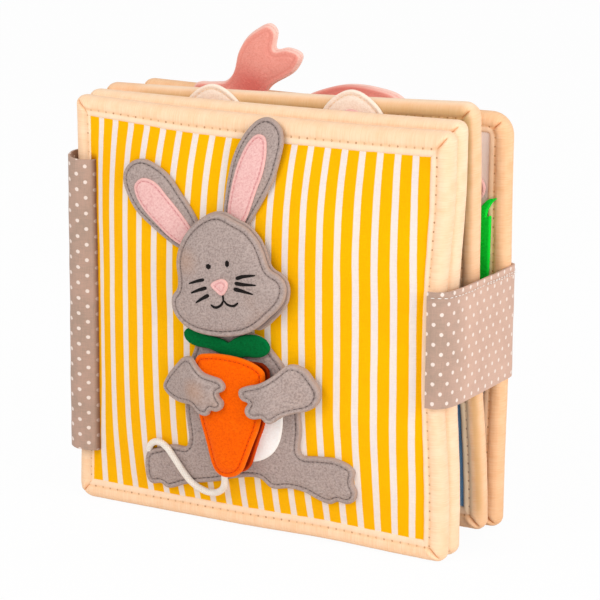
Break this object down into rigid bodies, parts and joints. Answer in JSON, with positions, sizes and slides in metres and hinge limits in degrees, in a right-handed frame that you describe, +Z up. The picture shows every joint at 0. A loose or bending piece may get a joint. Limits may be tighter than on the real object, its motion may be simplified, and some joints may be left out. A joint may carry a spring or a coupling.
{
  "type": "quiet book",
  "caption": "Standing cloth quiet book with padded bound leaves on a spine band, a closing strap, and a felt rabbit on the cover holding a stuffed carrot on a cord.",
  "frame": {"origin": "middle of the book's bounding box, on the floor that it stands on", "axes": "+X from the spine to the fore-edge, +Y from the front cover to the back, +Z up"},
  "size_m": [0.2048, 0.1008, 0.2332],
  "materials": {
    "filling": "polyester wadding",
    "striped_cotton": "yellow and white striped cotton",
    "lining": "plain woven cotton",
    "denim": "blue woven cotton",
    "binding": "peach bias binding, topstitched",
    "dotted_cotton": "taupe cotton with small white dots",
    "hook_and_loop": "hook and loop tape",
    "grey_felt": "wool felt, stitched edges",
    "pink_felt": "wool felt",
    "white_felt": "wool felt",
    "orange_felt": "wool felt, stuffed",
    "green_felt": "wool felt",
    "cream_felt": "wool felt",
    "rose_felt": "wool felt",
    "grass_felt": "wool felt",
    "cotton_cord": "braided cotton cord"
  },
  "bodies": {
    "back_leaf": {"back_leaf_wadding": "filling", "back_leaf_front_panel": "lining", "back_leaf_back_panel": "striped_cotton", "back_leaf_binding": "binding", "spine_band": "dotted_cotton", "strap_anchor": "dotted_cotton", "whale_back": "rose_felt", "whale_front": "rose_felt", "grass_tuft": "grass_felt", "flower": "pink_felt"},
    "third_leaf": {"third_leaf_wadding": "filling", "third_leaf_front_panel": "denim", "third_leaf_back_panel": "lining", "third_leaf_binding": "binding", "third_hinge_tape": "dotted_cotton", "bear_head": "cream_felt", "bear_muzzle": "white_felt", "bear_left_ear": "cream_felt", "bear_left_inner_ear": "pink_felt", "bear_right_ear": "cream_felt", "bear_right_inner_ear": "pink_felt"},
    "second_leaf": {"second_leaf_wadding": "filling", "second_leaf_front_panel": "lining", "second_leaf_back_panel": "denim", "second_leaf_binding": "binding", "second_hinge_tape": "dotted_cotton"},
    "front_cover": {"front_cover_wadding": "filling", "front_cover_front_panel": "striped_cotton", "front_cover_back_panel": "lining", "front_cover_binding": "binding", "loop_patch": "hook_and_loop", "rabbit_body": "grey_felt", "rabbit_belly": "white_felt", "rabbit_head_back": "grey_felt", "rabbit_head_front": "grey_felt", "rabbit_head_stuffing": "filling", "rabbit_nose": "pink_felt", "cord_tack": "cotton_cord", "carrot_cord": "cotton_cord"},
    "left_ear": {"rabbit_left_ear": "grey_felt", "rabbit_left_inner_ear": "pink_felt"},
    "right_ear": {"rabbit_right_ear": "grey_felt", "rabbit_right_inner_ear": "pink_felt"},
    "left_arm": {"rabbit_left_arm": "grey_felt"},
    "right_arm": {"rabbit_right_arm": "grey_felt"},
    "carrot": {"carrot_back": "orange_felt", "carrot_front": "orange_felt", "carrot_stuffing": "filling", "carrot_leaves": "green_felt"},
    "strap": {"strap_side": "dotted_cotton"},
    "strap_tab": {"strap_tab": "dotted_cotton", "hook_patch": "hook_and_loop"}
  },
  "joints": [
    {"name": "third_leaf_hinge", "type": "hinge", "parent": "back_leaf", "child": "third_leaf", "pos_m": [-0.1014, 0.03232, 0.1], "axis": [0, 0, -1], "range_deg": [0, 40], "deforming": ["spine_band", "strap_side", "strap_tab", "hook_patch"]},
    {"name": "second_leaf_hinge", "type": "hinge", "parent": "third_leaf", "child": "second_leaf", "pos_m": [-0.1014, -0.00033, 0.1], "axis": [0, 0, -1], "range_deg": [0, 40], "deforming": ["spine_band", "strap_side", "strap_tab", "hook_patch"]},
    {"name": "front_cover_hinge", "type": "hinge", "parent": "second_leaf", "child": "front_cover", "pos_m": [-0.1014, -0.01298, 0.1], "axis": [0, 0, -1], "range_deg": [0, 180], "deforming": ["spine_band", "strap_side", "strap_tab", "hook_patch"]},
    {"name": "strap_hinge", "type": "hinge", "parent": "back_leaf", "child": "strap", "pos_m": [0.1024, 0.04627, 0.1], "axis": [0, 0, 1], "range_deg": [0, 110]},
    {"name": "strap_tab_hinge", "type": "hinge", "parent": "strap", "child": "strap_tab", "pos_m": [0.1024, -0.02653, 0.1], "axis": [0, 0, 1], "range_deg": [0, 90]},
    {"name": "carrot_slide", "type": "slide", "parent": "front_cover", "child": "carrot", "axis": [0, 0, -1], "range_m": [0, 0.028], "deforming": ["carrot_cord"]},
    {"name": "left_arm_hinge", "type": "hinge", "parent": "front_cover", "child": "left_arm", "pos_m": [-0.0432, -0.02888, 0.0708], "axis": [0, 0, -1], "range_deg": [0, 60], "stiffness_Nm_per_rad": 0.0005},
    {"name": "right_arm_hinge", "type": "hinge", "parent": "front_cover", "child": "right_arm", "pos_m": [0.0393, -0.02888, 0.0738], "axis": [0, 0, 1], "range_deg": [0, 60], "stiffness_Nm_per_rad": 0.0005},
    {"name": "left_ear_hinge", "type": "hinge", "parent": "front_cover", "child": "left_ear", "pos_m": [-0.0284, -0.03013, 0.1419], "axis": [0.4741, 0, 0.8805], "range_deg": [0, 60], "stiffness_Nm_per_rad": 0.0005},
    {"name": "right_ear_hinge", "type": "hinge", "parent": "front_cover", "child": "right_ear", "pos_m": [-0.0045, -0.03013, 0.1523], "axis": [0.9615, 0, -0.2747], "range_deg": [0, 40], "stiffness_Nm_per_rad": 0.0005}
  ]
}
